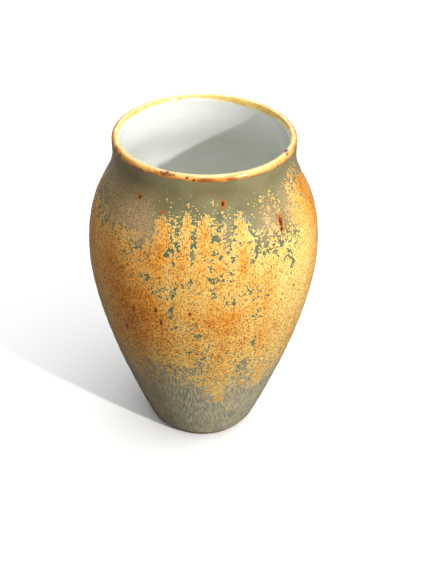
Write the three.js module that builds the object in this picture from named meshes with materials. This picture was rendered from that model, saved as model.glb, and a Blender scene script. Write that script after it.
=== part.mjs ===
// A small thrown stoneware vase: an ovoid body on a narrow turned foot, with a full shoulder, a short neck
// and a rounded lip. The clay is one piece. Four glaze coats are fused to it: a liner inside, a base coat
// outside, a second coat that has run down over the base coat, and a band over the lip.
// Units are millimetres, +Z is up, and the origin is the centre of the foot ring's standing face.
import * as THREE from "three";

// Outside of the clay
const HEIGHT = 125; // over the glazed lip
const FOOT_RADIUS = 19.8; // outer edge of the foot ring, where it meets the table
const FOOT_LEAN = 42; // degrees from upright at which the clay leaves the table
const FOOT_ROUNDING = 4.1; // how far that lean reaches before the flank straightens
const BELLY_RADIUS = 41.7;
const BELLY_HEIGHT = 79.4;
const NECK_RADIUS = 31.9;
const NECK_DROP = 5.5; // depth of the narrowest ring of the neck below the top of the lip
const LIP_PROJECTION = 0.05; // how far the lip stands out from the neck

// Fullness of the curves, as shares of the rise that each one spans
const FLANK_FULLNESS = 0.315; // just under the belly
const SHOULDER_FULLNESS = 0.66; // just over the belly
const NECK_FULLNESS = 0.355; // just under the neck

// Thickness of the clay
const LIP_WALL = 2.2; // at the lip, which is rounded to half of it
const BASE_WALL = 4.4; // where the wall meets the floor
const FLOOR_THICKNESS = 5;
const FLOOR_CORNER = 8; // height of the rounded corner between the floor and the wall

// Foot ring
const RING_WIDTH = 5.2; // standing face, from its inner to its outer edge
const RECESS_DEPTH = 2.5; // turned recess inside the ring
const RECESS_SLOPE = 1.2; // how far the recess narrows from the table up to its roof

// Glaze coats
const LINER_COAT = 0.4;
const BASE_COAT = 0.4;
const RUN_COAT = 0.35;
const BARE_FOOT = 1.6; // height of bare clay left above the table
const ROLL_HEIGHT = 1.2; // height over which the base coat's lower edge builds to its full thickness
const RUN_BOTTOM = 26; // lower end of the second coat above the table
const RUN_DROP = 8; // depth of its upper end below the top of the lip
const RUN_FEATHER = 6; // height over which it thins out at each end
const LIP_BAND = 3.2; // height of the band on the outside of the lip

// Facets
const ROUND_STEPS = 40; // round the axis, a multiple of 4
const FLANK_STEPS = 8;
const SHOULDER_STEPS = 6;
const INSIDE_STEPS = 5;
const CORNER_STEPS = 3;
const QUARTER_STEPS = 3; // in each quarter turn of the lip
const BAND_INSIDE_STEPS = 1; // of those, how many the band covers past the crest

const point = (radius, z) => new THREE.Vector2(radius, z);

// The clay's outside from the table to the outer side of the lip, as three curves that meet smoothly.
const lipRadius = LIP_WALL / 2;
const lipCentre = point(NECK_RADIUS + LIP_PROJECTION - lipRadius, HEIGHT - BASE_COAT - lipRadius);
const neckHeight = HEIGHT - NECK_DROP;
const runTop = HEIGHT - RUN_DROP;

function flankCurve() {
  const lean = THREE.MathUtils.degToRad(FOOT_LEAN);
  return new THREE.CubicBezierCurve(
    point(FOOT_RADIUS, 0),
    point(FOOT_RADIUS + FOOT_ROUNDING * Math.sin(lean), FOOT_ROUNDING * Math.cos(lean)),
    point(BELLY_RADIUS, BELLY_HEIGHT * (1 - FLANK_FULLNESS)),
    point(BELLY_RADIUS, BELLY_HEIGHT),
  );
}

function shoulderCurve() {
  const rise = neckHeight - BELLY_HEIGHT;
  return new THREE.CubicBezierCurve(
    point(BELLY_RADIUS, BELLY_HEIGHT),
    point(BELLY_RADIUS, BELLY_HEIGHT + rise * SHOULDER_FULLNESS),
    point(NECK_RADIUS, neckHeight - rise * NECK_FULLNESS),
    point(NECK_RADIUS, neckHeight),
  );
}

function outsidePoints() {
  const flank = flankCurve().getPoints(FLANK_STEPS);
  const shoulder = shoulderCurve().getPoints(SHOULDER_STEPS).slice(1);
  return [...flank, ...shoulder];
}

// The lip, a half circle from its outer side over the crest to its inner side.
function lipPoints() {
  return Array.from({ length: 2 * QUARTER_STEPS + 1 }, (_, i) => {
    const turn = (i * Math.PI) / (2 * QUARTER_STEPS);
    return point(lipCentre.x + lipRadius * Math.cos(turn), lipCentre.y + lipRadius * Math.sin(turn));
  });
}

// The left-hand normal at each point of an open outline: the mean of those of the two segments that meet there.
function leftNormals(points) {
  const sides = points.slice(1).map((end, i) => {
    const along = end.clone().sub(points[i]).normalize();
    return point(-along.y, along.x);
  });
  return points.map((_, i) => {
    const before = sides[Math.max(i - 1, 0)];
    const after = sides[Math.min(i, sides.length - 1)];
    return before.clone().add(after).normalize();
  });
}

// The index of the point where an outline first reaches a height, which is added if none is there yet.
function station(outline, height) {
  const next = outline.findIndex((p) => p.y >= height);
  const [below, above] = [outline[next - 1], outline[next]];
  if (above.y > height) {
    outline.splice(next, 0, below.clone().lerp(above, (height - below.y) / (above.y - below.y)));
  }
  return next;
}

// The inside wall, downwards from the lip: the outside set inwards by a wall that thickens towards the base.
function insideWallPoints() {
  const outside = [
    ...flankCurve().getPoints(2 * INSIDE_STEPS),
    ...shoulderCurve().getPoints(INSIDE_STEPS).slice(1),
  ];
  const inwards = leftNormals(outside);
  const wall = outside.map((p, i) => {
    const depth = 1 - p.y / HEIGHT;
    const thickness = LIP_WALL + (BASE_WALL - LIP_WALL) * depth * depth;
    return p.clone().addScaledVector(inwards[i], thickness);
  });
  const cornerTop = station(wall, RECESS_DEPTH + FLOOR_THICKNESS + FLOOR_CORNER);
  return wall.slice(cornerTop).filter((p) => p.y < lipCentre.y).reverse();
}

// The rounded corner from the foot of the inside wall to the flat floor, and the floor to the axis.
function floorPoints(wall) {
  const floor = RECESS_DEPTH + FLOOR_THICKNESS;
  const [above, last] = wall.slice(-2);
  const slope = (last.x - above.x) / (last.y - above.y);
  const corner = point(last.x + slope * (floor - last.y), floor);
  const flat = point(corner.x - corner.distanceTo(last), floor);
  const curve = new THREE.QuadraticBezierCurve(last, corner, flat);
  return [...curve.getPoints(CORNER_STEPS).slice(1), point(0, floor)];
}

// The whole skin of the clay, from the table up the outside, over the lip and down the inside to the axis.
// Every coat lies on a stretch of it, so the coats and the clay meet on the same points.
const lip = lipPoints();
const insideWall = insideWallPoints();
const skin = [...outsidePoints(), ...lip, ...insideWall, ...floorPoints(insideWall)];

const glazeStart = station(skin, BARE_FOOT);
station(skin, BARE_FOOT + ROLL_HEIGHT);
const runStart = station(skin, RUN_BOTTOM);
station(skin, RUN_BOTTOM + RUN_FEATHER);
station(skin, runTop - RUN_FEATHER);
const runEnd = station(skin, runTop);
const bandStart = station(skin, HEIGHT - LIP_BAND);
const bandEnd = skin.indexOf(lip[QUARTER_STEPS + BAND_INSIDE_STEPS]);
const skinEnd = skin.length - 1;
const outwards = leftNormals(skin).map((n) => n.negate());

// The skin between two stations, raised by a thickness that can change with height.
function raised(from, to, thickness) {
  return skin
    .slice(from, to + 1)
    .map((p, i) => p.clone().addScaledVector(outwards[from + i], thickness(p.y)));
}

// A coat between an inner and an outer face that run the same way along the skin, as a closed outline.
const closedCoat = (outerFace, innerFace) => [...outerFace, ...[...innerFace].reverse(), outerFace[0]];

const bare = () => 0;
const linerDepth = () => LINER_COAT;
const baseDepth = (z) => BASE_COAT * THREE.MathUtils.clamp((z - BARE_FOOT) / ROLL_HEIGHT, 0, 1);
const runDepth = (z) => {
  const fromEnd = Math.min(z - RUN_BOTTOM, runTop - z);
  return RUN_COAT * THREE.MathUtils.clamp(fromEnd / RUN_FEATHER, 0, 1);
};

function clayOutline() {
  const ringInner = FOOT_RADIUS - RING_WIDTH;
  return [
    point(0, RECESS_DEPTH),
    point(ringInner - RECESS_SLOPE, RECESS_DEPTH),
    point(ringInner, 0),
    ...skin,
  ];
}

function linerOutline() {
  const clayFace = raised(bandEnd, skinEnd, bare).reverse();
  return [...clayFace, ...raised(bandEnd, skinEnd, linerDepth)];
}

const baseOutline = () =>
  closedCoat(raised(glazeStart, bandStart, baseDepth), raised(glazeStart, bandStart, bare));

const runOutline = () =>
  closedCoat(
    raised(runStart, runEnd, (z) => baseDepth(z) + runDepth(z)),
    raised(runStart, runEnd, baseDepth),
  );

const bandOutline = () =>
  closedCoat(raised(bandStart, bandEnd, baseDepth), raised(bandStart, bandEnd, bare));

// Turns an outline of radius and height about the vertical axis.
function turnedMesh(name, outline, color, roughness) {
  const geometry = new THREE.LatheGeometry(outline, ROUND_STEPS);
  geometry.rotateX(Math.PI / 2);
  const material = new THREE.MeshStandardMaterial({ color, roughness, metalness: 0 });
  const mesh = new THREE.Mesh(geometry, material);
  mesh.name = name;
  return mesh;
}

const vase = new THREE.Group();
vase.add(
  turnedMesh("clay_body", clayOutline(), 0x9c8468, 0.85),
  turnedMesh("liner_glaze", linerOutline(), 0xe4e8e2, 0.2),
  turnedMesh("base_glaze", baseOutline(), 0x7f8163, 0.2),
  turnedMesh("flowing_glaze", runOutline(), 0xe0a044, 0.25),
  turnedMesh("lip_glaze", bandOutline(), 0xeeb450, 0.25),
);

export default vase;
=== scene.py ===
"""A small stoneware vase thrown on the wheel: bare clay, a pale liner, an olive base glaze, a second amber
glaze that has run down over it, and an ochre band over the lip. Metres, +Z up, the foot on the floor."""

from math import cos, pi, radians, sin

import bpy
import numpy as np
from mathutils import Matrix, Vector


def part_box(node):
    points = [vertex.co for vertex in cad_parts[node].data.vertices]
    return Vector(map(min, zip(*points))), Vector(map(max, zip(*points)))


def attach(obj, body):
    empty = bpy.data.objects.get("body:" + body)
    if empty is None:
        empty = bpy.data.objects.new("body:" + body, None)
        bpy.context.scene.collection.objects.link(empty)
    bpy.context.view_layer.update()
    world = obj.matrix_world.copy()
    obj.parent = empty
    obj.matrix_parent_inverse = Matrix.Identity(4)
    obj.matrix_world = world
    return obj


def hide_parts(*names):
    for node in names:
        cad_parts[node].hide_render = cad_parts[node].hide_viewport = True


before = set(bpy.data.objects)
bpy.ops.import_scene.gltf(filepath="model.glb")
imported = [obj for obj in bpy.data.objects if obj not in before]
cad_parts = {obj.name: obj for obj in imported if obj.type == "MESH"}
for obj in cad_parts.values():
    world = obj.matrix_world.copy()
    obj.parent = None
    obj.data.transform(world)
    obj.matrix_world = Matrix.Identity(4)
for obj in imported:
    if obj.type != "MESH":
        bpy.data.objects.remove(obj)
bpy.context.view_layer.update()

MM = 0.001

# Sizes taken from the frame
clay_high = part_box("clay_body")[1]
liner_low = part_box("liner_glaze")[0]
base_low, base_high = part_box("base_glaze")
run_low, run_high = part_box("flowing_glaze")
band_low, band_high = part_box("lip_glaze")

HEIGHT = band_high.z
BELLY_RADIUS = clay_high.x
COAT = band_high.z - clay_high.z
RUN_COAT = run_high.x - base_high.x
BARE_FOOT = base_low.z
LIP_RADIUS = band_high.x - COAT
CLAY_FLOOR = liner_low.z

# The thrown form, and the groove that the fingers leave in it
FOOT_RADIUS = 19.8 * MM
FOOT_LEAN = radians(42)
FOOT_ROUNDING = 4.1 * MM
BELLY_HEIGHT = 79.4 * MM
NECK_RADIUS = 31.9 * MM
NECK_HEIGHT = HEIGHT - 5.5 * MM
FLANK_FULLNESS = 0.315
SHOULDER_FULLNESS = 0.66
NECK_FULLNESS = 0.355
LIP_WALL = 2.2 * MM
BASE_WALL = 4.4 * MM
FLOOR_CORNER = 8 * MM
RING_WIDTH = 5.2 * MM
RECESS_DEPTH = 2.5 * MM
RECESS_SLOPE = 1.2 * MM
EDGE_ROUNDING = 0.3 * MM
MARK_PITCH = 6.5 * MM
MARK_DEPTH = 0.03 * MM
MARK_FADE = 8 * MM

# How the coats lie: the waver, rise and roll of the base coat's lower edge, the taper of the second coat
# and its thinnest share, how full the amber is in a run, and how firmly the run holds that
FOOT_WAVER = 0.35 * MM
FOOT_EDGE = 1.2 * MM
FOOT_ROLL = 0.08 * MM
RUN_TAPER = 6 * MM
THIN_RUN = 0.35
FULL_COVER = 0.86
RUN_HOLD = 0.92

# How finely the surfaces are divided, and the bend past which an edge is drawn sharp
COLUMNS = 384
LIP_STEPS = 32
BAND_STEPS_INSIDE = 5
CORNER_STEPS = 14
FLOOR_STEPS = 8
HIDDEN_ROWS = 60
CREASE = radians(50)


# ---- Outlines -------------------------------------------------------------------------------------------


def cubic(start, start_pull, end_pull, end, steps):
    """A cubic Bezier curve: each of four (radius, height) points weighted by its Bernstein term."""
    t = np.linspace(0, 1, steps + 1)[:, None]
    weights = ((1 - t) ** 3, 3 * (1 - t) ** 2 * t, 3 * (1 - t) * t**2, t**3)
    return sum(w * np.array(p) for w, p in zip(weights, (start, start_pull, end_pull, end), strict=True))


def outward_normals(outline):
    """The right-hand normal of an outline at each point, from the difference of its neighbours."""
    along = np.gradient(outline, axis=0)
    along /= np.linalg.norm(along, axis=1, keepdims=True)
    return np.stack([along[:, 1], -along[:, 0]], axis=1)


def clay_outside():
    """The outside from the table to the neck: a flank curve and a shoulder curve that meet at the belly."""
    lean = (FOOT_RADIUS + FOOT_ROUNDING * sin(FOOT_LEAN), FOOT_ROUNDING * cos(FOOT_LEAN))
    rise = NECK_HEIGHT - BELLY_HEIGHT
    flank = cubic(
        (FOOT_RADIUS, 0),
        lean,
        (BELLY_RADIUS, BELLY_HEIGHT * (1 - FLANK_FULLNESS)),
        (BELLY_RADIUS, BELLY_HEIGHT),
        90,
    )
    shoulder = cubic(
        (BELLY_RADIUS, BELLY_HEIGHT),
        (BELLY_RADIUS, BELLY_HEIGHT + rise * SHOULDER_FULLNESS),
        (NECK_RADIUS, NECK_HEIGHT - rise * NECK_FULLNESS),
        (NECK_RADIUS, NECK_HEIGHT),
        70,
    )
    return np.concatenate([flank, shoulder[1:]])


def clay_inside(outside):
    """The inside downwards: the outside set in by a wall that thickens with the square of the depth, then a
    quarter-round corner as a quadratic Bezier curve, then the flat floor to the axis."""
    depth = 1 - outside[:, 1:] / HEIGHT
    wall = LIP_WALL + (BASE_WALL - LIP_WALL) * depth**2
    inner = (outside - outward_normals(outside) * wall)[::-1]
    inner = inner[inner[:, 1] > CLAY_FLOOR + FLOOR_CORNER]
    last, slope = inner[-1], (inner[-1] - inner[-2]) / (inner[-1] - inner[-2])[1]
    corner = last + slope * (CLAY_FLOOR - last[1])
    flat = corner - np.array([np.linalg.norm(corner - last), 0])
    t = np.linspace(0, 1, CORNER_STEPS + 1)[1:, None]
    curve = (1 - t) ** 2 * last + 2 * t * (1 - t) * corner + t**2 * flat
    to_axis = np.linspace(flat[0], 0, FLOOR_STEPS + 1)[1:]
    floor = np.stack([to_axis, np.full(FLOOR_STEPS, CLAY_FLOOR)], axis=1)
    return np.concatenate([inner, curve, floor])


class Skin:
    """The clay's whole surface as one outline, from the table up the outside, over the lip and down the
    inside to the axis. A place on it is its distance along the outline."""

    def __init__(self):
        outside = clay_outside()
        turn = np.linspace(0, pi, LIP_STEPS + 1)
        round_radius = LIP_WALL / 2
        middle = np.array([LIP_RADIUS - round_radius, HEIGHT - COAT - round_radius])
        lip = middle + round_radius * np.stack([np.cos(turn), np.sin(turn)], axis=1)
        points = np.concatenate([outside, lip, clay_inside(outside)])
        self.normal = outward_normals(points)
        self.points = points
        steps = np.linalg.norm(np.diff(points, axis=0), axis=1)
        self.along = np.concatenate([[0], np.cumsum(steps)])
        self.end = self.along[-1]
        crest = len(outside) + LIP_STEPS // 2
        self.crest = self.along[crest]
        self.band_end = self.along[crest + BAND_STEPS_INSIDE]
        self.rising = slice(0, crest)

    def at_height(self, height):
        """How far along the outside a height is."""
        return np.interp(height, self.points[self.rising, 1], self.along[self.rising])

    def raised(self, place, depth):
        """(radius, height) at distances along the outline, pushed out along the normal by a depth."""
        radius, height, out, up = (
            np.interp(place, self.along, column)
            for column in (*self.points.T, *self.normal.T)
        )
        return radius + out * depth, height + up * depth


skin = Skin()
angles = np.linspace(-pi, pi, COLUMNS, endpoint=False)


# ---- Random but repeatable fields ------------------------------------------------------------------------


def ripple(angle, height, seed, round_waves, wave_height, count=24):
    """A smooth field that closes on itself round the vase, about -1 to 1: a sum of cosine waves of random
    direction and phase, with up to round_waves waves in a turn and waves of about wave_height up it."""
    draw = np.random.default_rng(seed)
    turns = draw.integers(0, round_waves + 1, count) * draw.choice([-1, 1], count)
    rises = draw.normal(0, 2 * pi / wave_height, count)
    phases = draw.uniform(0, 2 * pi, count)
    waves = zip(turns, rises, phases, strict=True)
    return sum(np.cos(turn * angle + rise * height + phase) for turn, rise, phase in waves) / np.sqrt(count)


def throwing_marks(angle, height):
    """How far the wall lies inside its true radius: a shallow spiral groove left by the fingers, the sine
    of the height in pitches less the angle, with a slow waver."""
    spiral = 2 * pi * height / MARK_PITCH - angle
    waver = 0.8 * ripple(angle, height, 3, 2, 40 * MM)
    return -MARK_DEPTH * (1 + np.sin(spiral + waver))


# ---- Meshes ----------------------------------------------------------------------------------------------


def turned_piece(name, radius, height, fields=None, poles=False):
    """A closed surface turned about the axis. Rows of radius and height follow the outline with the outside
    on the right, columns go round the vase. Without poles the last row joins the first. With poles each end
    closes with a fan round one point on the axis, which takes the mean of its row."""
    rows, columns = radius.shape
    points = np.stack([radius * np.sin(angles), -radius * np.cos(angles), height], axis=2).reshape(-1, 3)
    grid = np.arange(rows * columns).reshape(rows, columns)
    below = grid[:-1] if poles else grid
    above = grid[1:] if poles else np.roll(grid, -1, axis=0)
    quads = np.stack([below, np.roll(below, -1, 1), np.roll(above, -1, 1), above], axis=2)
    faces = quads.reshape(-1, 4).tolist()
    if poles:
        first, last = np.full((2, columns), [[len(points)], [len(points) + 1]])
        points = np.concatenate([points, [[0, 0, height[0].mean()], [0, 0, height[-1].mean()]]])
        faces += np.stack([first, np.roll(grid[0], -1), grid[0]], axis=1).tolist()
        faces += np.stack([last, grid[-1], np.roll(grid[-1], -1)], axis=1).tolist()
    mesh = bpy.data.meshes.new(name)
    mesh.from_pydata(points.tolist(), [], faces)
    mesh.polygons.foreach_set("use_smooth", np.ones(len(mesh.polygons), bool))
    mesh.set_sharp_from_angle(angle=CREASE)
    for field, values in (fields or {}).items():
        at_poles = [values[0].mean(), values[-1].mean()] if poles else []
        made = mesh.attributes.new(field, "FLOAT", "POINT")
        made.data.foreach_set("value", np.concatenate([values.ravel(), at_poles]).astype(np.float32))
    mesh.update()
    piece = bpy.data.objects.new(name, mesh)
    bpy.context.scene.collection.objects.link(piece)
    return piece


def full_grid(place):
    """Angles for every row of a grid of places."""
    return angles + np.zeros_like(place)


def rows_between(start, end, rows):
    """Places along the skin for each row and column, evenly spaced from start to end, either of which may
    change round the vase."""
    t = np.linspace(0, 1, rows)[:, None]
    return start + (end - start) * t + np.zeros(COLUMNS)


def thrown(place, depth):
    """The radius and height of a raised skin, with the throwing marks pressed in on the outside."""
    radius, height = skin.raised(place, depth)
    outside = np.clip((skin.crest - place) / MARK_FADE, 0, 1)
    return radius + throwing_marks(angles, height) * outside, height


def coat_piece(name, outer, inner, fields, poles=False):
    """A coat between an outer face and an inner face that lies on what it covers. Each face is (place,
    depth). Without poles the outline goes along the outer face and back along the inner one. With poles it
    goes from the axis along the inner face, round the edge, and along the outer face to the axis.
    fields(place, angle, height) gives what the coat is painted by."""
    outer_face = (outer[0], *thrown(*outer))
    inner_face = (inner[0], *thrown(*inner))
    pairs = zip(outer_face, inner_face, strict=True)
    if poles:
        place, radius, height = (np.concatenate([back[::-1][1:], out[:-1]]) for out, back in pairs)
    else:
        place, radius, height = (np.concatenate([out, back[::-1]]) for out, back in pairs)
    return turned_piece(name, radius, height, fields(place, full_grid(place), height), poles)


# ---- The glaze's own pattern -----------------------------------------------------------------------------

# How much of the surface the amber glaze covers at each height in millimetres, away from runs and islands.
COVER_BY_HEIGHT = [
    (16, 0.0),
    (28, 0.2),
    (36, 0.4),
    (44, 0.6),
    (52, 0.74),
    (62, 0.84),
    (72, 0.85),
    (90, 0.83),
    (96, 0.75),
    (101, 0.58),
    (106, 0.43),
    (111, 0.32),
    (116, 0.23),
    (122, 0.0),
]

# Runs of the amber glaze that reach up the shoulder: angle from the front in degrees, height of the tip in
# millimetres, half width in degrees. Positive angles are to the right of the front.
RUNS = [
    (-23, 110.5, 3),
    (-20, 107, 4),
    (-9, 112.5, 1.7),
    (-8, 109, 2.4),
    (0, 112, 3),
    (1, 109, 4.6),
    (20, 112.5, 1.3),
    (21, 109, 3.6),
    (58, 107, 4),
    (67, 112, 3),
    (76, 113, 7),
    (88, 110, 6),
]

# Loose flecks above the runs: angle, height, half width in degrees, half height in mm, added cover.
FLECKS = [
    (34, 114.5, 3, 5, 0.17),
    (44, 113, 3.5, 5, 0.17),
    (60, 114, 5, 7, 0.27),
    (68, 117, 8, 5, 0.22),
    (10, 112, 3, 1.5, 0.2),
    (5, 116, 1, 2, 0.22),
    (-9, 115.5, 1.2, 1.2, 0.3),
    (-23, 116, 3, 3, 0.1),
    (10, 108, 3, 4, 0.12),
]

# Open places in the amber where the olive shows: angle, height, half width in degrees, half height in mm,
# and how much cover is lost.
ISLANDS = [
    (-17, 96.5, 2.4, 4.5, 0.28),
    (-13, 104.5, 3, 3, 0.12),
    (-5.3, 98.6, 1.9, 2, 0.5),
    (-4, 105, 1.6, 3, 0.22),
    (5, 99.5, 2.6, 1.4, 0.16),
    (2, 98, 2.4, 1.2, 0.2),
    (4, 93.5, 2, 3, 0.2),
    (12.5, 105, 2, 7, 0.18),
    (13, 97, 2.6, 3, 0.2),
    (25, 97, 3, 4, 0.26),
    (31, 100, 3.6, 3.6, 0.26),
    (31, 107.5, 4, 3, 0.14),
    (38, 97, 5, 3.5, 0.24),
    (46, 93, 5, 4, 0.24),
    (48, 88.5, 3, 2.4, 0.3),
    (52, 99, 4, 4, 0.22),
    (36, 88, 3, 2, 0.34),
    (6, 91, 5, 2, 0.28),
    (-6.5, 88.7, 3.6, 2.4, 0.4),
    (-28.5, 89, 4, 2.4, 0.36),
    (-22, 84, 3, 3.4, 0.36),
    (-14, 85.5, 3, 2.4, 0.38),
    (-15, 76.5, 1.8, 4.4, 0.46),
    (5.5, 84.8, 3.4, 2.4, 0.34),
    (14, 84.5, 4, 1.6, 0.3),
    (14, 81.3, 3, 2.4, 0.4),
    (22, 84.5, 3.4, 3, 0.36),
    (30, 83, 3, 3, 0.24),
    (26.5, 74, 2.4, 4, 0.4),
    (-3, 66.3, 3.4, 3, 0.38),
    (-9, 71, 8, 3, 0.16),
    (-1, 54, 5.5, 6, 0.3),
    (-6, 47, 7, 3, 0.2),
    (22.5, 49, 5, 6, 0.28),
    (27, 60, 2, 2.4, 0.4),
    (-20, 50, 9, 6, 0.12),
    (-30, 44, 12, 8, 0.14),
    (-14, 33, 13, 6, 0.22),
    (30, 30, 10, 5, 0.12),
    (-40, 109, 10, 6, 0.2),
    (-54, 108, 10, 8, 0.16),
]

# Tongues of amber that reach down the foot, the same way, with the cover gained.
TONGUES = [
    (9.5, 31, 6, 9, 0.3),
    (13, 27, 2.4, 4, 0.35),
    (20.5, 21, 1.6, 6, 0.6),
    (40, 34, 9, 8, 0.25),
]

# Warmer and cooler parts of the amber: angle, height, half width, half height, how much warmer. The warm
# places from -25 degrees round to -74 on the left are partly burnt amber and partly painted shade that
# darkens the left side.
WARMTH_AND_SHADE = [
    (-25, 98, 9, 7, 0.5),
    (-48, 96, 10, 10, 0.25),
    (-74, 96, 14, 16, 0.4),
    (-28, 76, 14, 12, 0.35),
    (-6, 86, 7, 4, 0.15),
    (8, 75.5, 12, 4, 0.38),
    (19.5, 96, 2.2, 5, 0.6),
    (30, 80, 2, 7, 0.45),
    (1, 106, 3.5, 6, 0.35),
    (-8.5, 111, 1.6, 3, 0.4),
    (-23, 109, 2.4, 4, 0.45),
    (20, 110, 1.4, 3, 0.3),
    (9.5, 56, 5, 12, 0.3),
    (-2, 98, 9, 5, 0.1),
    (-42, 80, 15, 14, 0.45),
    (-36, 64, 12, 9, 0.3),
    (6, 50, 25, 14, -0.2),
    (82, 106, 12, 14, 0.8),
    (84, 80, 12, 18, 0.45),
    (68, 110, 8, 10, 0.4),
    (57, 104, 3, 3, 0.4),
    (52, 76, 19, 24, -0.55),
    (42, 94, 9, 6, -0.28),
    (60, 90, 8, 8, -0.15),
    (20, 86, 8, 5, -0.12),
    (-14, 84, 8, 5, -0.25),
]

# Pale haze where the two glazes have mixed: angle, height, half width, half height, strength. The place at
# 12.5 degrees and 104 mm is a painted sheen of the key light, and the one at -28 degrees and 44 mm a
# painted reflection.
HAZE_AND_REFLECTIONS = [
    (-38, 109, 11, 6.5, 1.0),
    (-31, 103, 7, 4.5, 0.7),
    (-56, 107, 14, 8, 0.9),
    (38, 107, 7, 6, 0.85),
    (54, 107, 7, 6, 0.9),
    (60, 114, 7, 4, 0.4),
    (12.5, 104, 2.6, 6, 0.35),
    (-28, 44, 14, 10, 0.3),
]

# Iron spots: angle, height, half width and half height in millimetres.
IRON_SPOTS = [
    (-40, 113.5, 0.45, 0.8),
    (10.8, 115.3, 0.5, 1.0),
    (44.7, 105.4, 0.85, 1.3),
    (44.3, 104.2, 0.8, 1.9),
    (43.8, 102.8, 0.5, 2.0),
    (-6, 121.6, 0.4, 0.4),
    (-35, 74, 0.5, 1.5),
    (-22.5, 76.5, 0.4, 1.3),
    (-42, 63, 0.55, 1.4),
    (-20, 71.5, 0.45, 1.6),
    (-6, 77.3, 0.4, 0.5),
]

# Rust stains, the same way.
RUST_STAINS = [
    (-27.3, 117.3, 0.8, 0.6),
    (-23.5, 110.8, 0.9, 1.1),
    (10.8, 115, 1.3, 1.9),
    (44.9, 106.2, 1.2, 1.7),
    (-40, 113.8, 1.2, 1.2),
    (4, 118.6, 0.6, 0.4),
    (-6, 77.3, 0.7, 0.7),
    (9.7, 61, 0.5, 3.4),
    (-2.5, 58, 0.4, 2.4),
    (3, 47, 0.4, 2.4),
]

# How far the ochre reaches down inside the lip: angle from the front to the right, and millimetres below
# the top.
OCHRE_SPILL = [
    (0, 0.7),
    (60, 0.8),
    (90, 1.1),
    (115, 1.8),
    (135, 2.2),
    (155, 2.1),
    (170, 1.5),
    (190, 1.0),
    (205, 1.2),
    (225, 1.5),
    (245, 1.3),
    (270, 1.0),
    (300, 0.8),
    (360, 0.7),
]

# Iron specks on the lip: angle, share of the way across the band, half width and half height in
# millimetres.
LIP_SPECKS = [
    (-98, 0.42, 0.6, 0.8),
    (-76, 0.5, 0.35, 0.5),
    (-68, 0.46, 0.5, 0.6),
    (-61, 0.44, 0.5, 0.7),
    (-26, 0.68, 0.35, 0.35),
    (-24, 0.62, 0.5, 0.4),
    (-22.5, 0.7, 0.6, 0.4),
    (-20, 0.62, 0.4, 0.3),
    (-18, 0.66, 0.4, 0.3),
    (-10, 0.6, 0.35, 0.3),
    (-6, 0.46, 0.3, 0.3),
    (63, 0.9, 0.5, 0.5),
    (65, 0.94, 0.5, 0.5),
    (61, 0.7, 0.4, 0.5),
    (82, 0.5, 0.4, 0.5),
    (97, 0.6, 0.3, 0.4),
]

# Browner places on the lip: angle, share of the way across the band, half width in degrees, half share, and
# how much. Below 0 is paler.
LIP_TONES = [
    (-90, 0.5, 10, 0.2, 0.5),
    (-70, 0.45, 8, 0.12, 0.7),
    (-25, 0.6, 9, 0.15, 0.9),
    (-8, 0.5, 8, 0.1, 0.6),
    (4, 0.52, 7, 0.14, 0.8),
    (18, 0.5, 6, 0.1, 0.5),
    (45, 0.6, 16, 0.3, -0.4),
    (78, 0.5, 10, 0.2, 0.4),
    (100, 0.8, 20, 0.15, 0.3),
]


def smooth_step(value, low, high):
    """0 below low, 1 above high, and a smooth 3t^2 - 2t^3 between them. low may be the larger."""
    t = np.clip((value - low) / (high - low), 0, 1)
    return t * t * (3 - 2 * t)


def turn_between(angle, degrees):
    """The signed angle in degrees from a place on the vase to each point, the short way round."""
    return (np.degrees(angle) - degrees + 180) % 360 - 180


def spot(angle, height, degrees, level, half_width, half_height):
    """A bell of height 1 round a place: exp of minus the squared distances in its own half sizes."""
    across = turn_between(angle, degrees) / half_width
    up = (height / MM - level) / half_height
    return np.exp(-(across**2) - up**2)


def total_of(places, angle, height):
    """The sum of the bells at a list of places, each (angle, height, half width, half height, amount)."""
    return sum(amount * spot(angle, height, *place) for *place, amount in places)


def hidden_side(count, seed, low, high):
    """Random angles on the side away from the front, with random heights between two levels, and the
    generator to draw the rest from."""
    draw = np.random.default_rng(seed)
    return np.stack([draw.uniform(95, 268, count), draw.uniform(low, high, count)], axis=1), draw


def amber_cover(angle, height):
    """Share of the surface under the amber glaze: the share for the height, moved up and down by a slow
    wave, raised to nearly full in the runs and somewhat in the flecks and tongues, and lowered in the open
    places. Random ones join the listed ones on the side away from the front."""
    level = height / MM
    wave = ripple(angle, height, 11, 14, 30 * MM)
    heights, shares = np.array(COVER_BY_HEIGHT).T
    cover = np.interp(level + 1.6 * wave, heights, shares)
    places, draw = hidden_side(26, 21, 105, 115)
    behind = [(a, tip, draw.uniform(2, 5)) for a, tip in places]
    for degrees, tip, half_width in RUNS + behind:
        across = np.exp(-np.abs(turn_between(angle, degrees) / half_width) ** 2.5)
        reach = smooth_step(level, tip + 1.5, tip - 3) * smooth_step(level, 84, 92)
        cover += RUN_HOLD * (FULL_COVER - cover) * across * reach
    places, draw = hidden_side(14, 23, 107, 117)
    flecks = [(a, z, draw.uniform(2, 6), draw.uniform(2, 5), 0.22) for a, z in places]
    places, draw = hidden_side(64, 22, 45, 106)
    gaps = [(a, z, draw.uniform(2, 6), draw.uniform(1.6, 5), draw.uniform(0.2, 0.42)) for a, z in places]
    cover += total_of(FLECKS + flecks, angle, height)
    cover -= total_of(ISLANDS + gaps, angle, height)
    cover += total_of(TONGUES, angle, height)
    return np.clip(cover, 0, 1)


def amber_warmth_and_shade(angle, height):
    """From pale yellow at 0 to orange at 1 and burnt brown beyond: upright streaks and slow clouds, with
    the warm and cool places added. The warm places on the left side are partly burnt amber and partly
    painted shade."""
    streaks = 0.12 * ripple(angle, height, 31, 40, 60 * MM)
    clouds = 0.07 * ripple(angle, height, 32, 9, 22 * MM)
    return np.clip(0.5 + streaks + clouds + total_of(WARMTH_AND_SHADE, angle, height), 0, 1.6)


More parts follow.
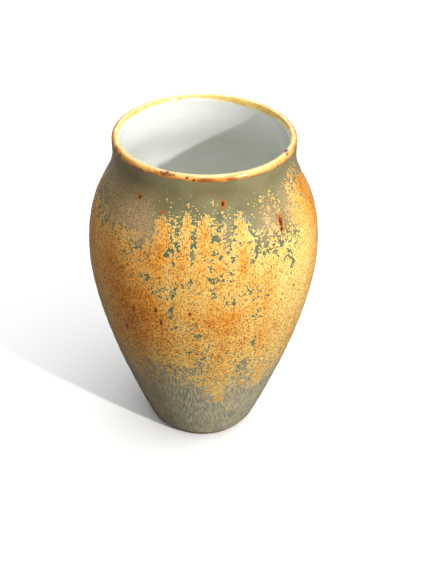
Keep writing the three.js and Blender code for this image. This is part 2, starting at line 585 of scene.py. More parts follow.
def amber_grain(angle, height):
    """How strongly the dots show: softer on the shoulder, full low down and on the left."""
    low_down = smooth_step(height / MM, 84, 64)
    on_the_left = spot(angle, height, -32, 80, 24, 26)
    return 0.85 + 0.3 * low_down + 0.2 * on_the_left


def glaze_haze_and_reflections(angle, height):
    """Strength of the pale haze: the named places, of which one is a painted sheen and one a painted
    reflection, and a few soft upright patches behind.
    """
    patches = 0.5 * smooth_step(ripple(angle, height, 41, 12, 30 * MM), 0.9, 1.8)
    high_up = smooth_step(height / MM, 92, 104)
    behind = smooth_step(np.abs(turn_between(angle, 0)), 80, 110)
    return np.clip(patches * high_up * behind + total_of(HAZE_AND_REFLECTIONS, angle, height), 0, 1)


def glaze_fields(_place, angle, height):
    """The fields that both outer glazes are painted by."""
    return {
        "amber_cover": amber_cover(angle, height),
        "amber_warmth_and_shade": amber_warmth_and_shade(angle, height),
        "glaze_haze_and_reflections": glaze_haze_and_reflections(angle, height),
        "foot_share": smooth_step(height / MM, 60, 30),
        "amber_grain": amber_grain(angle, height),
    }


# ---- Pieces ----------------------------------------------------------------------------------------------


def foot_line():
    """How far along the skin the base glaze starts: a wavering line just above the table."""
    waver = FOOT_WAVER * (1 + ripple(angles, 0 * angles, 51, 9, 1))
    return skin.at_height(BARE_FOOT + np.clip(waver, 0, 2 * MM))


def base_depth(place, start):
    """The base coat's thickness: it rises as a quarter circle from its lower edge, and swells there in a
    small bell, 1.6 mm above the edge, where it has gathered."""
    rise = np.clip((place - start) / FOOT_EDGE, 0, 1)
    roll = np.exp(-(((place - start) / MM - 1.6) ** 2))
    return COAT * np.sqrt(rise * (2 - rise)) + FOOT_ROLL * roll * rise


def run_depth(height, cover):
    """The second coat's thickness: full where the amber is full, thin where the olive shows, and tapered
    evenly to nothing at both ends."""
    ends = np.minimum(height - run_low.z, run_high.z - height) / RUN_TAPER
    return RUN_COAT * np.clip(ends, 0, 1) * (THIN_RUN + (1 - THIN_RUN) * cover)


def clay_piece():
    """The clay body: the recess under the foot, the standing ring with its rounded edges, and the whole
    skin, with its rows closer together at the foot."""
    ring_inner = FOOT_RADIUS - RING_WIDTH
    under = np.array(
        [
            (0.25 * ring_inner, RECESS_DEPTH),
            (0.5 * ring_inner, RECESS_DEPTH),
            (0.75 * ring_inner, RECESS_DEPTH),
            (ring_inner - RECESS_SLOPE - 0.8 * MM, RECESS_DEPTH),
            (ring_inner - RECESS_SLOPE, RECESS_DEPTH - EDGE_ROUNDING),
            (ring_inner - 0.25 * MM, 0.4 * MM),
            (ring_inner, 0.1 * MM),
            (ring_inner + EDGE_ROUNDING, 0),
            (0.5 * (ring_inner + FOOT_RADIUS), 0),
            (FOOT_RADIUS - EDGE_ROUNDING, 0),
        ]
    )
    above_foot = skin.at_height(6 * MM)
    foot = rows_between(0, above_foot, rows=14)
    rest = rows_between(above_foot, skin.end, rows=130)[1:-1]
    place = np.concatenate([foot, rest])
    radius, height = thrown(place, 0)
    radius = np.concatenate([under[:, :1] + np.zeros(COLUMNS), radius])
    height = np.concatenate([under[:, 1:] + np.zeros(COLUMNS), height])
    return turned_piece("clay_vase_body", radius, height, poles=True)


def liner_fields(_place, angle, height):
    """How far a point is above the ochre's lower edge inside the lip, in millimetres, and how deep it is in
    the vase as a share of the height."""
    turns, reaches = np.array(OCHRE_SPILL).T
    reach = np.interp(np.degrees(angle) % 360, turns, reaches)
    return {"ochre_spill": reach - (HEIGHT - height) / MM, "liner_depth": (HEIGHT - height) / HEIGHT}


def liner_piece():
    """The liner: from inside the lip's crest down the wall to the middle of the floor."""
    place = rows_between(skin.band_end, skin.end, rows=130)
    inner = rows_between(skin.band_end, skin.end, rows=HIDDEN_ROWS)
    return coat_piece("white_liner", (place, COAT), (inner, 0), liner_fields, poles=True)


def base_piece():
    """The olive base coat: from the wavering foot line to the lip band, with its rows closer together at
    its rounded lower edge."""
    start, end = foot_line(), skin.at_height(band_low.z)
    above_edge = start + 3 * MM
    edge = rows_between(start, above_edge, rows=12)
    place = np.concatenate([edge, rows_between(above_edge, end, rows=150)[1:]])
    inner = rows_between(start, end, rows=HIDDEN_ROWS)
    return coat_piece("olive_base_glaze", (place, base_depth(place, start)), (inner, 0), glaze_fields)


def run_piece():
    """The amber coat over the base coat, thicker in its runs."""
    start, end = skin.at_height(run_low.z), skin.at_height(run_high.z)
    place = rows_between(start, end, rows=170)
    inner = rows_between(start, end, rows=HIDDEN_ROWS)
    _, height = skin.raised(place, COAT)
    cover = amber_cover(full_grid(place), height)
    outer_depth = COAT + run_depth(height, cover)
    return coat_piece("amber_run_glaze", (place, outer_depth), (inner, COAT), glaze_fields)


def band_fields(place, angle, height):
    """How far across the band a point is, from its lower edge outside to its end inside, and how brown the
    ochre is there: a ripple round the lip, with a bell at each of the browner places."""
    start = skin.at_height(band_low.z)
    share = np.clip((place - start) / (skin.band_end - start), 0, 1)
    burnt = 0.25 * ripple(angle, 0 * height, 61, 26, 1)
    for degrees, level, half_width, half_share, amount in LIP_TONES:
        round_lip = turn_between(angle, degrees) / half_width
        across = (share - level) / half_share
        burnt += amount * np.exp(-(round_lip**2) - across**2)
    return {"band_share": share, "lip_burnt": np.clip(burnt, -0.5, 1)}


def band_piece():
    """The ochre band: over the lip from its outside to just inside the crest."""
    start = skin.at_height(band_low.z)
    place = rows_between(start, skin.band_end, rows=48)
    inner = rows_between(start, skin.band_end, rows=24)
    return coat_piece("ochre_lip_band", (place, COAT), (inner, 0), band_fields)


# ---- Shader helpers --------------------------------------------------------------------------------------


class Tree:
    """A node tree that is filled one node at a time. What feeds a socket is a number, a tuple or another
    node's output."""

    def __init__(self, tree):
        self.tree = tree

    def feed(self, socket, value):
        """Links a socket to another node's output, or sets its value."""
        if isinstance(value, bpy.types.NodeSocket):
            self.tree.links.new(value, socket)
        else:
            socket.default_value = value

    def fill(self, node, inputs):
        """Feeds a node's inputs, by name or number."""
        for name, value in inputs.items():
            self.feed(node.inputs[name], value)

    def node(self, kind, inputs=None, **settings):
        """Adds a node. settings are its own properties, and inputs are what feeds its sockets."""
        made = self.tree.nodes.new("ShaderNode" + kind)
        for name, value in settings.items():
            setattr(made, name, value)
        self.fill(made, inputs or {})
        return made

    def group(self, group, inputs):
        """Places a node group. Returns its outputs."""
        return self.node("Group", inputs, node_tree=group).outputs

    def field(self, name):
        """One of the piece's own painted values."""
        return self.node("Attribute", attribute_name=name).outputs["Fac"]

    def math(self, operation, first, second=0.0, third=0.0, clamp=False):
        """A sum, product or the like of numbers."""
        made = self.node("Math", {0: first, 1: second, 2: third}, operation=operation, use_clamp=clamp)
        return made.outputs[0]

    def vector(self, operation, first, second=(0, 0, 0)):
        """The same of vectors."""
        return self.node("VectorMath", {0: first, 1: second}, operation=operation).outputs["Vector"]

    def weighed(self, *parts):
        """The sum of values, each times its own weight."""
        total = 0.0
        for value, weight in parts:
            total = self.math("MULTIPLY_ADD", value, weight, third=total)
        return total

    def fade(self, value, low, high, bottom=0.0, top=1.0):
        """Smoothly from bottom at low to top at high."""
        inputs = {"Value": value, "From Min": low, "From Max": high, "To Min": bottom, "To Max": top}
        return self.node("MapRange", inputs, interpolation_type="SMOOTHSTEP").outputs["Result"]

    def blend(self, share, first, second):
        """Colour first where share is 0 and second where it is 1."""
        made = self.node("Mix", data_type="RGBA", clamp_factor=True)
        for name, kind, value in (("Factor", "VALUE", share), ("A", "RGBA", first), ("B", "RGBA", second)):
            self.feed(next(s for s in made.inputs if s.name == name and s.type == kind), value)
        return next(s for s in made.outputs if s.type == "RGBA")

    def noise(self, place, scale, detail=2.0, roughness=0.5):
        """A cloudy field, 0 to 1, with about scale waves to the metre."""
        inputs = {"Vector": place, "Scale": scale, "Detail": detail, "Roughness": roughness}
        return self.node("TexNoise", inputs).outputs["Fac"]

    def cells(self, place, scale):
        """Scattered cells, about scale to the metre. Returns the outputs: Distance to the nearest cell's
        middle, and that cell's random Color."""
        return self.node("TexVoronoi", {"Vector": place, "Scale": scale}, feature="F1").outputs

    def stretched(self, place, sideways, upwards):
        """The place scaled across and up the vase, which draws a pattern out the other way."""
        inputs = {"Vector": place, "Scale": (sideways, sideways, upwards)}
        return self.node("Mapping", inputs).outputs["Vector"]

    def meridian(self, place, upwards):
        """A place moved straight in or out to a fixed radius and scaled up the vase, so that a pattern
        keeps to the lines that run from the foot to the lip."""
        outward = self.vector("NORMALIZE", self.vector("MULTIPLY", place, (1, 1, 0)))
        rolled = self.vector("MULTIPLY", outward, (HAIR_RADIUS, HAIR_RADIUS, 0))
        return self.vector("ADD", rolled, self.vector("MULTIPLY", place, (0, 0, upwards)))


# ---- Colours and scales ----------------------------------------------------------------------------------


def colour(red, green, blue):
    """A colour given as it looks on a screen, 0 to 255, in the linear values that a shader takes."""
    value = np.array([red, green, blue]) / 255
    linear = np.where(value <= 0.04045, value / 12.92, ((value + 0.055) / 1.055) ** 2.4)
    return (*linear.tolist(), 1.0)


AMBER_NET_PALE = colour(254, 221, 130)
AMBER_NET_WARM = colour(246, 165, 56)
AMBER_DOT_PALE = colour(172, 110, 40)
AMBER_DOT_WARM = colour(156, 80, 14)
AMBER_RIM = colour(250, 222, 140)
# Burnt brown for the warmest amber, which on the left side is partly painted shade
AMBER_BURNT_AND_SHADE = colour(112, 60, 16)
OLIVE_DARK = colour(131, 125, 89)
OLIVE_LIGHT = colour(149, 142, 104)
OLIVE_CLOSED_IN = colour(102, 108, 80)
FOOT_DARK = colour(130, 138, 124)
FOOT_LIGHT = colour(152, 156, 140)
HAIR_GOLD = colour(226, 204, 138)
HAIR_CREAM = colour(238, 228, 196)
# Colours of the haze, which in two places stand for a painted sheen and a painted reflection
HAZE_GROUND = colour(164, 134, 91)
HAZE_SPECK = colour(212, 186, 142)
HAZE_TOPPING = colour(206, 162, 105)
LIP_YELLOW = colour(242, 186, 96)
LIP_YELLOW_DEEP = colour(230, 158, 66)
LIP_ORANGE = colour(222, 146, 66)
LIP_BROWN = colour(158, 88, 34)
# Cream for the lip's crest, partly a painted highlight, and for the fringe below the ochre inside
LIP_CREAM_AND_SHEEN = colour(252, 228, 164)
SPILL_PALE = colour(246, 212, 122)
SPILL_DEEP = colour(226, 180, 84)
LINER_WHITE = colour(238, 241, 237)
LINER_GREY = colour(231, 235, 231)
# Painted shade and bounced tint deep inside the vase
LINER_DEPTH_SHADE = colour(235, 235, 221)
LINER_PIT = colour(150, 146, 130)
CLAY_DARK = colour(158, 132, 104)
CLAY_LIGHT = colour(178, 152, 122)
CLAY_GRAIN = colour(120, 94, 70)
CLAY_SPECK = colour(74, 50, 34)
RUST = colour(188, 108, 40)
IRON = colour(72, 32, 14)

# How fine each pattern is: grains, dots, hairs or clouds to the metre
CRYSTAL_GRAINS = 1400
CRYSTAL_CLOUDS = 460
CRYSTAL_CORNERS = 900
CRYSTAL_WORMS = 580
AMBER_DOTS = 1500
AMBER_PATCHES = 1200
OLIVE_CLOUDS = 90
FOOT_HAIRS = 3800
HAIR_TINTS = 1500
SPOT_RAGGEDNESS = 1400
HAZE_PATCHES = 1100
HAZE_SPECKS = 2400
LIP_WAVER = 110
LIP_MOTTLE = 420
LIP_BURNT_PATCHES = 260
LIP_CREAM_PATCHES = 200
LINER_CLOUDS = 60
LINER_PITS = 130
LINER_RIPPLES = 140
SPILL_WAVER = 160
CLAY_GRAINS = 2600
CLAY_CLOUDS = 120
CLAY_SPECKS = 700
CLAY_RINGS = 1800

# The radius that the foot's hairs are drawn at, whatever the wall's own radius
HAIR_RADIUS = 30 * MM


# ---- Glaze groups ----------------------------------------------------------------------------------------


def new_group(name, inputs, outputs):
    """A shader group with named sockets. Returns the group, its tree, and what comes in by name."""
    group = bpy.data.node_groups.new(name, "ShaderNodeTree")
    for label, (kind, value) in inputs.items():
        socket = group.interface.new_socket(label, in_out="INPUT", socket_type="NodeSocket" + kind)
        if value is not None:
            socket.default_value = value
    for label, kind in outputs.items():
        group.interface.new_socket(label, in_out="OUTPUT", socket_type="NodeSocket" + kind)
    return group, Tree(group), group.nodes.new("NodeGroupInput").outputs


def finish_group(group, tree, results):
    """Feeds what a group puts out. Returns the group."""
    tree.fill(group.nodes.new("NodeGroupOutput"), results)
    return group


def crystal_cover_group():
    """Turns a share of cover into granules that merge into a net and leave crisp angular islands. Two
    noises, the distance to the nearest grain and the grain's own random weight are added, and the amber
    lies where the sum is under the share. Where the share is high, the weights give way to thin worms,
    which lie where a noise crosses its middle. Margin is how far inside the amber a place is."""
    group, tree, source = new_group(
        "crystal_cover",
        {"Place": ("Vector", None), "Cover": ("Float", 0.5)},
        {"Mask": "Float", "Margin": "Float"},
    )
    place = source["Place"]
    grains = tree.cells(place, CRYSTAL_GRAINS)
    away = tree.fade(grains["Distance"], 0.05, 0.85)
    weight = tree.node("SeparateColor", {0: grains["Color"]}).outputs["Red"]
    cloud = tree.fade(tree.noise(tree.stretched(place, 1.0, 0.8), CRYSTAL_CLOUDS, 1.0), 0.3, 0.7)
    corner = tree.fade(tree.noise(place, CRYSTAL_CORNERS, 1.0), 0.32, 0.68)
    loose = tree.weighed((cloud, 0.22), (corner, 0.18), (away, 0.37), (weight, 0.23))
    from_middle = tree.math("ABSOLUTE", tree.math("SUBTRACT", tree.noise(place, CRYSTAL_WORMS, 1.0), 0.5))
    worm = tree.fade(from_middle, 0.13, 0.01)
    closed = tree.weighed((cloud, 0.28), (worm, 0.42), (corner, 0.18), (away, 0.12))
    full = tree.fade(source["Cover"], 0.4, 0.75)
    threshold = tree.math("MULTIPLY_ADD", full, tree.math("SUBTRACT", closed, loose), loose)
    margin = tree.math("SUBTRACT", tree.math("MULTIPLY", source["Cover"], 1.04), threshold)
    return finish_group(group, tree, {"Mask": tree.fade(margin, -0.012, 0.012), "Margin": margin})


def amber_group():
    """The amber glaze's colour: dark amber dots in a paler net, from pale yellow to burnt orange, with a
    cream yellow rim where it ends. Past full warmth it turns burnt brown, which on the left side is partly
    painted shade."""
    group, tree, source = new_group(
        "amber_glaze",
        {
            "Place": ("Vector", None),
            "Warmth and shade": ("Float", 0.4),
            "Margin": ("Float", 0.4),
            "Grain": ("Float", 1.0),
        },
        {"Color": "Color", "Dots": "Float"},
    )
    place = source["Place"]
    cells = tree.cells(tree.stretched(place, 1.0, 0.85), AMBER_DOTS)
    patch = tree.fade(tree.noise(tree.stretched(place, 1.0, 0.7), AMBER_PATCHES, 2.0, 0.6), 0.36, 0.64)
    inside = tree.fade(source["Margin"], 0.0, 0.3)
    warmth_and_shade = tree.math("ADD", source["Warmth and shade"], tree.fade(patch, 0.0, 1.0, -0.1, 0.1))
    warmth_and_shade = tree.math("SUBTRACT", warmth_and_shade, tree.fade(inside, 0.0, 1.0, 0.25, 0.0), clamp=True)
    net = tree.blend(warmth_and_shade, AMBER_NET_PALE, AMBER_NET_WARM)
    dot = tree.blend(warmth_and_shade, AMBER_DOT_PALE, AMBER_DOT_WARM)
    dots = tree.fade(cells["Distance"], 0.62, 0.3)
    dots = tree.math("MULTIPLY", dots, tree.fade(patch, 0.0, 1.0, 0.55, 1.0))
    dots = tree.math("MULTIPLY", dots, tree.fade(inside, 0.0, 1.0, 0.25, 1.0))
    dots = tree.math("MULTIPLY", dots, source["Grain"], clamp=True)
    result = tree.blend(dots, net, dot)
    # Burnt brown past full warmth: partly burnt amber, partly painted shade on the left side
    result = tree.blend(tree.fade(source["Warmth and shade"], 1.0, 1.6, 0.0, 0.7), result, AMBER_BURNT_AND_SHADE)
    result = tree.blend(tree.fade(source["Margin"], 0.09, 0.0, 0.0, 0.75), result, AMBER_RIM)
    return finish_group(group, tree, {"Color": result, "Dots": dots})


def olive_group():
    """The olive base glaze: a soft cloud of tone, darker and greener where the amber closes in on it, and
    grey green with fine upright cream and gold hairs towards the foot."""
    group, tree, source = new_group(
        "olive_glaze",
        {"Place": ("Vector", None), "Foot": ("Float", 0.0), "Cover": ("Float", 0.0)},
        {"Color": "Color", "Hairs": "Float"},
    )
    place, foot = source["Place"], source["Foot"]
    cloud = tree.fade(tree.noise(place, OLIVE_CLOUDS, 3.0), 0.3, 0.7)
    upper = tree.blend(cloud, OLIVE_DARK, OLIVE_LIGHT)
    upper = tree.blend(tree.fade(source["Cover"], 0.2, 0.6), upper, OLIVE_CLOSED_IN)
    lower = tree.blend(cloud, FOOT_DARK, FOOT_LIGHT)
    ground = tree.blend(foot, upper, lower)
    hair = tree.noise(tree.meridian(place, 0.08), FOOT_HAIRS, 1.0)
    hairs = tree.math("MULTIPLY", tree.fade(hair, 0.42, 0.62), foot)
    tint = tree.fade(tree.noise(tree.meridian(place, 0.2), HAIR_TINTS, 1.0), 0.4, 0.6)
    hair_colour = tree.blend(tint, HAIR_GOLD, HAIR_CREAM)
    result = tree.blend(tree.math("MULTIPLY", hairs, 0.7), ground, hair_colour)
    return finish_group(group, tree, {"Color": result, "Hairs": hairs})


def iron_spot_group():
    """One iron spot: 1 inside a ragged oval of the given half sizes, with a rust halo round it."""
    group, tree, source = new_group(
        "iron_spot",
        {"Place": ("Vector", None), "Centre": ("Vector", None), "Size": ("Vector", None)},
        {"Spot": "Float", "Halo": "Float"},
    )
    offset = tree.vector("SUBTRACT", source["Place"], source["Centre"])
    scaled = tree.vector("DIVIDE", offset, source["Size"])
    away = tree.node("VectorMath", {0: scaled}, operation="LENGTH").outputs["Value"]
    edge = tree.fade(tree.noise(source["Place"], SPOT_RAGGEDNESS, 2.0), 0.2, 0.8, -0.5, 0.5)
    ragged = tree.math("ADD", away, edge)
    inside = tree.fade(ragged, 1.15, 0.75)
    halo = tree.fade(ragged, 2.8, 0.9)
    return finish_group(group, tree, {"Spot": inside, "Halo": halo})


def round_the_vase(degrees, radius, height):
    """The point at a radius and a height, at an angle from the front to the right."""
    return (radius * sin(radians(degrees)), -radius * cos(radians(degrees)), height)


def iron_spot(tree, spot_group, place, centre, half_width, half_height):
    """A spot round a point, of the given half sizes in millimetres."""
    size = (half_width * MM, half_width * MM, half_height * MM)
    return tree.group(spot_group, {"Place": place, "Centre": centre, "Size": size})


def spots_on_glaze(tree, spot_group, place, spots):
    """The outputs of each of a list of spots on the amber coat's outer face."""
    for degrees, level, half_width, half_height in spots:
        centre = round_the_vase(degrees, *skin.raised(skin.at_height(level * MM), COAT + RUN_COAT))
        yield iron_spot(tree, spot_group, place, centre, half_width, half_height)


def spots_on_lip(tree, spot_group, place):
    """The outputs of each speck on the ochre band's outer face."""
    start = skin.at_height(band_low.z)
    for degrees, share, half_width, half_height in LIP_SPECKS:
        centre = round_the_vase(degrees, *skin.raised(start + share * (skin.band_end - start), COAT))
        yield iron_spot(tree, spot_group, place, centre, half_width, half_height)


def outer_glaze_group(cover_group, amber, olive, spot_group):
    """The outer glaze's whole look: the olive ground, the amber over it by the crystal cover, the haze that
    veils both and in two places paints a sheen and a reflection, the rust stains and the iron spots."""
    group, tree, source = new_group(
        "outer_glaze",
        {
            "Place": ("Vector", None),
            "Cover": ("Float", 0.0),
            "Warmth and shade": ("Float", 0.4),
            "Haze and reflections": ("Float", 0.0),
            "Foot": ("Float", 0.0),
            "Grain": ("Float", 1.0),
        },
        {"Color": "Color", "Roughness": "Float", "Height": "Float"},
    )
    place = source["Place"]
    crystal = tree.group(cover_group, {"Place": place, "Cover": source["Cover"]})
    mask = crystal["Mask"]
    amber_look = tree.group(
        amber,
        {"Place": place, "Warmth and shade": source["Warmth and shade"], "Margin": crystal["Margin"], "Grain": source["Grain"]},
    )
    olive_look = tree.group(olive, {"Place": place, "Foot": source["Foot"], "Cover": source["Cover"]})
    # The haze veil, which in two places is a painted sheen and a painted reflection
    patches = tree.fade(tree.noise(place, HAZE_PATCHES, 2.0), 0.3, 0.7, 0.75, 1.0)
    milky_and_reflected = tree.math("MULTIPLY", source["Haze and reflections"], patches)
    specks = tree.fade(tree.noise(place, HAZE_SPECKS, 1.0), 0.45, 0.65)
    ground = tree.blend(milky_and_reflected, olive_look["Color"], tree.blend(specks, HAZE_GROUND, HAZE_SPECK))
    topping = tree.blend(tree.math("MULTIPLY", milky_and_reflected, 0.85), amber_look["Color"], HAZE_TOPPING)
    result = tree.blend(mask, ground, topping)
    for stain in spots_on_glaze(tree, spot_group, place, RUST_STAINS):
        result = tree.blend(tree.math("MULTIPLY", stain["Spot"], 0.7), result, RUST)
    for iron in spots_on_glaze(tree, spot_group, place, IRON_SPOTS):
        result = tree.blend(tree.math("MULTIPLY", iron["Halo"], 0.35), result, RUST)
        result = tree.blend(iron["Spot"], result, IRON)
    rough = tree.fade(mask, 0.0, 1.0, 0.25, 0.45)
    raised = tree.weighed((mask, 1.0), (amber_look["Dots"], -0.35), (olive_look["Hairs"], 0.3))
    return finish_group(group, tree, {"Color": result, "Roughness": rough, "Height": raised})


# ---- Finishes --------------------------------------------------------------------------------------------


def new_material(name):
    """A material with a bare Principled shader. Returns it, its tree, the shader and the Object
    coordinates."""
    material = bpy.data.materials.new(name)
    material.use_nodes = True
    material.node_tree.nodes.clear()
    tree = Tree(material.node_tree)
    shader = tree.node("BsdfPrincipled")
    tree.node("OutputMaterial", {"Surface": shader.outputs["BSDF"]})
    return material, tree, shader, tree.node("TexCoord").outputs["Object"]


def bumped(tree, height, strength, depth):
    """The normal of a surface that a field seems to raise by up to about a depth in metres."""
    bump = tree.node("Bump", {"Strength": strength, "Distance": depth, "Height": height})
    return bump.outputs["Normal"]


def outer_glaze_material(name, group):
    """The olive and amber glazes under one thin clear gloss, rougher on the amber."""
    material, tree, shader, place = new_material(name)
    look = tree.group(
        group,
        {
            "Place": place,
            "Cover": tree.field("amber_cover"),
            "Warmth and shade": tree.field("amber_warmth_and_shade"),
            "Haze and reflections": tree.field("glaze_haze_and_reflections"),
            "Foot": tree.field("foot_share"),
            "Grain": tree.field("amber_grain"),
        },
    )
    tree.fill(
        shader,
        {
            "Base Color": look["Color"],
            "Roughness": look["Roughness"],
            "Specular IOR Level": 0.15,
            "Coat Weight": 0.6,
            "Coat Roughness": 0.03,
            "Normal": bumped(tree, look["Height"], 0.25, 0.04 * MM),
        },
    )
    return material


def lip_material(spot_group, olive):
    """Ochre yellow that thins to orange brown and then to the olive under it at its wavering lower edge,
    and to cream over the crest, partly paler glaze and partly a painted highlight, with browner places and
    iron specks."""
    material, tree, shader, place = new_material("ochre_lip_glaze")
    burnt = tree.field("lip_burnt")
    slow = tree.fade(tree.noise(place, LIP_WAVER, 2.0, 0.6), 0.3, 0.7, -0.06, 0.06)
    fine = tree.noise(place, LIP_MOTTLE, 3.0, 0.6)
    waver = tree.math("ADD", slow, tree.fade(fine, 0.3, 0.7, -0.03, 0.03))
    share = tree.math("ADD", tree.field("band_share"), waver)
    tone = tree.math("ADD", tree.fade(fine, 0.34, 0.66), tree.math("MULTIPLY", burnt, -0.8), clamp=True)
    yellow = tree.blend(tone, LIP_YELLOW_DEEP, LIP_YELLOW)
    brown_patches = tree.fade(tree.noise(place, LIP_BURNT_PATCHES, 2.0), 0.4, 0.6)
    cream_patches = tree.fade(tree.noise(place, LIP_CREAM_PATCHES, 2.0), 0.35, 0.65, 0.5, 0.95)
    brown = tree.blend(brown_patches, LIP_BROWN, LIP_ORANGE)
    cream = tree.blend(cream_patches, yellow, LIP_CREAM_AND_SHEEN)
    bare = tree.group(olive, {"Place": place, "Foot": 0.0, "Cover": 0.0})["Color"]
    on_band = tree.fade(share, 0.36, 0.42)
    result = tree.blend(tree.fade(share, 0.34, 0.4), bare, brown)
    result = tree.blend(tree.fade(share, 0.4, 0.5), result, yellow)
    result = tree.blend(tree.math("MULTIPLY", tree.fade(burnt, 0.3, 1.0), on_band), result, brown)
    # Cream over the crest: partly paler glaze, partly a painted highlight of the sky
    result = tree.blend(tree.fade(share, 0.68, 0.86), result, cream)
    for speck in spots_on_lip(tree, spot_group, place):
        result = tree.blend(tree.math("MULTIPLY", speck["Halo"], 0.7), result, LIP_BROWN)
        result = tree.blend(speck["Spot"], result, IRON)
    tree.fill(
        shader,
        {
            "Base Color": result,
            "Roughness": tree.fade(tone, 0.0, 1.0, 0.22, 0.32),
            "Coat Weight": 1.0,
            "Coat Roughness": 0.06,
            "Normal": bumped(tree, fine, 0.12, 0.05 * MM),
        },
    )
    return material


def liner_material():
    """A pale bluish white, a little greyer in soft clouds, and darker and greener in the depth as painted
    shade of the light that bounces inside, with sparse pinholes, and the ochre that has spilled over the
    lip, with a cream fringe below it."""
    material, tree, shader, place = new_material("white_liner_glaze")
    cloud = tree.fade(tree.noise(place, LINER_CLOUDS, 3.0), 0.3, 0.7)
    pits = tree.fade(tree.cells(place, LINER_PITS)["Distance"], 0.045, 0.02)
    result = tree.blend(cloud, LINER_GREY, LINER_WHITE)
    # Painted shade: darker and greener deeper in the vase
    result = tree.blend(tree.fade(tree.field("liner_depth"), 0.2, 0.6), result, LINER_DEPTH_SHADE)
    result = tree.blend(tree.math("MULTIPLY", pits, 0.6), result, LINER_PIT)
    waver = tree.fade(tree.noise(place, SPILL_WAVER, 2.0), 0.3, 0.7, -0.25, 0.25)
    spill = tree.math("ADD", tree.field("ochre_spill"), waver)
    mottle = tree.fade(tree.noise(place, LIP_MOTTLE, 3.0, 0.6), 0.34, 0.66)
    result = tree.blend(tree.fade(spill, -0.8, 0.1, 0.0, 0.55), result, LIP_CREAM_AND_SHEEN)
    ochre = tree.blend(mottle, SPILL_DEEP, SPILL_PALE)
    result = tree.blend(tree.fade(spill, -0.1, 0.5, 0.0, 0.95), result, ochre)
    tree.fill(
        shader,
        {
            "Base Color": result,
            "Roughness": tree.fade(cloud, 0.0, 1.0, 0.12, 0.2),
            "Coat Weight": 0.5,
            "Coat Roughness": 0.04,
            "Normal": bumped(tree, tree.noise(place, LINER_RIPPLES, 2.0), 0.12, 0.2 * MM),
        },
    )
    return material


def clay_material():
    """Bare fired stoneware: buff, with dark grains and specks and the fine rings of turning."""
    material, tree, shader, place = new_material("bare_stoneware")
    grain = tree.fade(tree.noise(place, CLAY_GRAINS, 3.0, 0.7), 0.35, 0.65)
    cloud = tree.fade(tree.noise(place, CLAY_CLOUDS, 3.0), 0.3, 0.7)
    specks = tree.fade(tree.cells(place, CLAY_SPECKS)["Distance"], 0.16, 0.08)
    result = tree.blend(cloud, CLAY_DARK, CLAY_LIGHT)
    result = tree.blend(tree.math("MULTIPLY", grain, 0.35), result, CLAY_GRAIN)
    result = tree.blend(tree.math("MULTIPLY", specks, 0.7), result, CLAY_SPECK)
    rings = tree.noise(tree.stretched(place, 0.02, 1.0), CLAY_RINGS, 1.0)
    raised = tree.weighed((rings, 1.0), (grain, 0.5))
    tree.fill(
        shader,
        {
            "Base Color": result,
            "Roughness": tree.fade(grain, 0.0, 1.0, 0.75, 0.95),
            "Normal": bumped(tree, raised, 0.5, 0.12 * MM),
        },
    )
    return material


# ---- Stage -----------------------------------------------------------------------------------------------


# The floor's colour as it is seen, its colour to light that bounces, and half its side
FLOOR_SEEN = colour(247, 247, 247)
FLOOR_BOUNCE = colour(116, 104, 94)
FLOOR_HALF = 1.5

# The sky's light: its gain overhead, its least strength, and how much stronger it is on the right
SKY_OVERHEAD = 2.2
SKY_LEVEL = 0.07
SKY_TO_RIGHT = 0.9

# The key light: its angle from the front to the right, its angle up, and how far, wide and strong it is
KEY_AZIMUTH = radians(46)
KEY_ELEVATION = radians(27)
KEY_DISTANCE = 2.0
KEY_WIDTH = 0.09
KEY_WATTS = 34
KEY_TINT = (1.0, 0.98, 0.94)
KEY_AIM = 0.6 * HEIGHT

# The camera: its turn to the left is below 0, and it looks down by an angle from the level
CAMERA_PLACE = (0, -0.3141, 0.2826)
CAMERA_TURN = -0.0152
CAMERA_DOWN = 0.6195
CAMERA_ROLL = 0.0185
CAMERA_SENSOR = 36
CAMERA_LENS = 62.6


def add_floor():
    """A plain pale floor, 3 m across, that throws only a little warm light back up at the vase."""
    mesh = bpy.data.meshes.new("floor")
    corners = [(x * FLOOR_HALF, y * FLOOR_HALF, 0) for x, y in ((-1, -1), (1, -1), (1, 1), (-1, 1))]
    mesh.from_pydata(corners, [], [(0, 1, 2, 3)])
    floor = bpy.data.objects.new("floor", mesh)
    bpy.context.scene.collection.objects.link(floor)
    material, tree, shader, _ = new_material("pale_floor")
    seen = tree.node("LightPath").outputs["Is Camera Ray"]
    tint = tree.blend(seen, FLOOR_BOUNCE, FLOOR_SEEN)
    tree.fill(shader, {"Base Color": tint, "Roughness": 0.9, "Specular IOR Level": 0.0})
    mesh.materials.append(material)


def add_key_light():
    """A round soft light on the front right that faces a point just above the middle of the vase."""
    data = bpy.data.lights.new("key_light", "AREA")
    data.shape = "DISK"
    data.size = KEY_WIDTH
    data.energy = KEY_WATTS
    data.color = KEY_TINT
    light = bpy.data.objects.new("key_light", data)
    bpy.context.scene.collection.objects.link(light)
    level = cos(KEY_ELEVATION)
    away = np.array([sin(KEY_AZIMUTH) * level, -cos(KEY_AZIMUTH) * level, sin(KEY_ELEVATION)])
    light.matrix_world = (
        Matrix.Translation((away * KEY_DISTANCE + np.array([0, 0, KEY_AIM])).tolist())
        @ Matrix.Rotation(KEY_AZIMUTH, 4, "Z")
        @ Matrix.Rotation(pi / 2 - KEY_ELEVATION, 4, "X")
    )


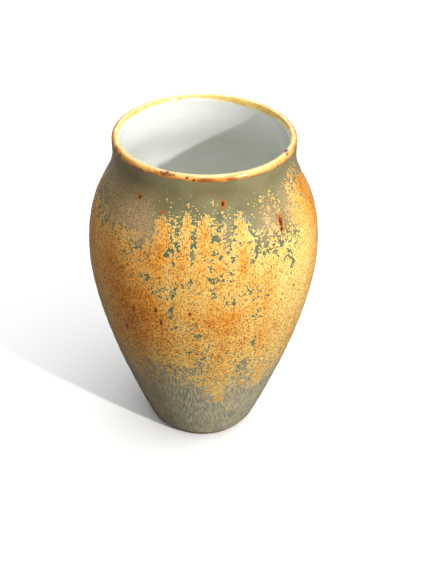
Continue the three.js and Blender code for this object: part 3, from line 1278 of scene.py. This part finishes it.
def add_sky():
    """A sky that looks plain white, and lights the vase from overhead as the square of the sine of the
    elevation, with a little from the horizon, and more from the right."""
    world = bpy.data.worlds.new("studio")
    bpy.context.scene.world = world
    world.use_nodes = True
    tree = Tree(world.node_tree)
    axes = tree.node("SeparateXYZ", {0: tree.node("TexCoord").outputs["Generated"]}).outputs
    overhead = tree.math("MULTIPLY", tree.math("MULTIPLY", axes["Z"], axes["Z"]), SKY_OVERHEAD)
    sideways = tree.math("ADD", tree.math("MULTIPLY", axes["X"], SKY_TO_RIGHT), 1.0)
    sky = tree.math("MULTIPLY", tree.math("ADD", overhead, SKY_LEVEL), sideways)
    seen = tree.node("LightPath").outputs["Is Camera Ray"]
    strength = tree.fade(seen, 0.0, 1.0, sky, 1.0)
    tree.fill(world.node_tree.nodes["Background"], {"Color": (1, 1, 1, 1), "Strength": strength})
    bpy.context.scene.view_settings.view_transform = "Standard"


def add_camera():
    """A camera in front of the vase and above it, looking down."""
    data = bpy.data.cameras.new("camera")
    data.sensor_width = CAMERA_SENSOR
    data.lens = CAMERA_LENS
    camera = bpy.data.objects.new("camera", data)
    bpy.context.scene.collection.objects.link(camera)
    camera.matrix_world = (
        Matrix.Translation(CAMERA_PLACE)
        @ Matrix.Rotation(CAMERA_TURN, 4, "Z")
        @ Matrix.Rotation(pi / 2 - CAMERA_DOWN, 4, "X")
        @ Matrix.Rotation(CAMERA_ROLL, 4, "Z")
    )
    bpy.context.scene.camera = camera


# ---- The vase --------------------------------------------------------------------------------------------


def set_piece(piece, node, material):
    """Puts a finished piece in place of its CAD node."""
    piece.data.materials.append(material)
    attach(piece, "root")
    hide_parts(node)


spot_group = iron_spot_group()
olive = olive_group()
glaze_group = outer_glaze_group(crystal_cover_group(), amber_group(), olive, spot_group)

set_piece(clay_piece(), "clay_body", clay_material())
set_piece(liner_piece(), "liner_glaze", liner_material())
set_piece(base_piece(), "base_glaze", outer_glaze_material("olive_base_glaze", glaze_group))
set_piece(run_piece(), "flowing_glaze", outer_glaze_material("amber_run_glaze", glaze_group))
set_piece(band_piece(), "lip_glaze", lip_material(spot_group, olive))

add_floor()
add_sky()
add_key_light()
add_camera()
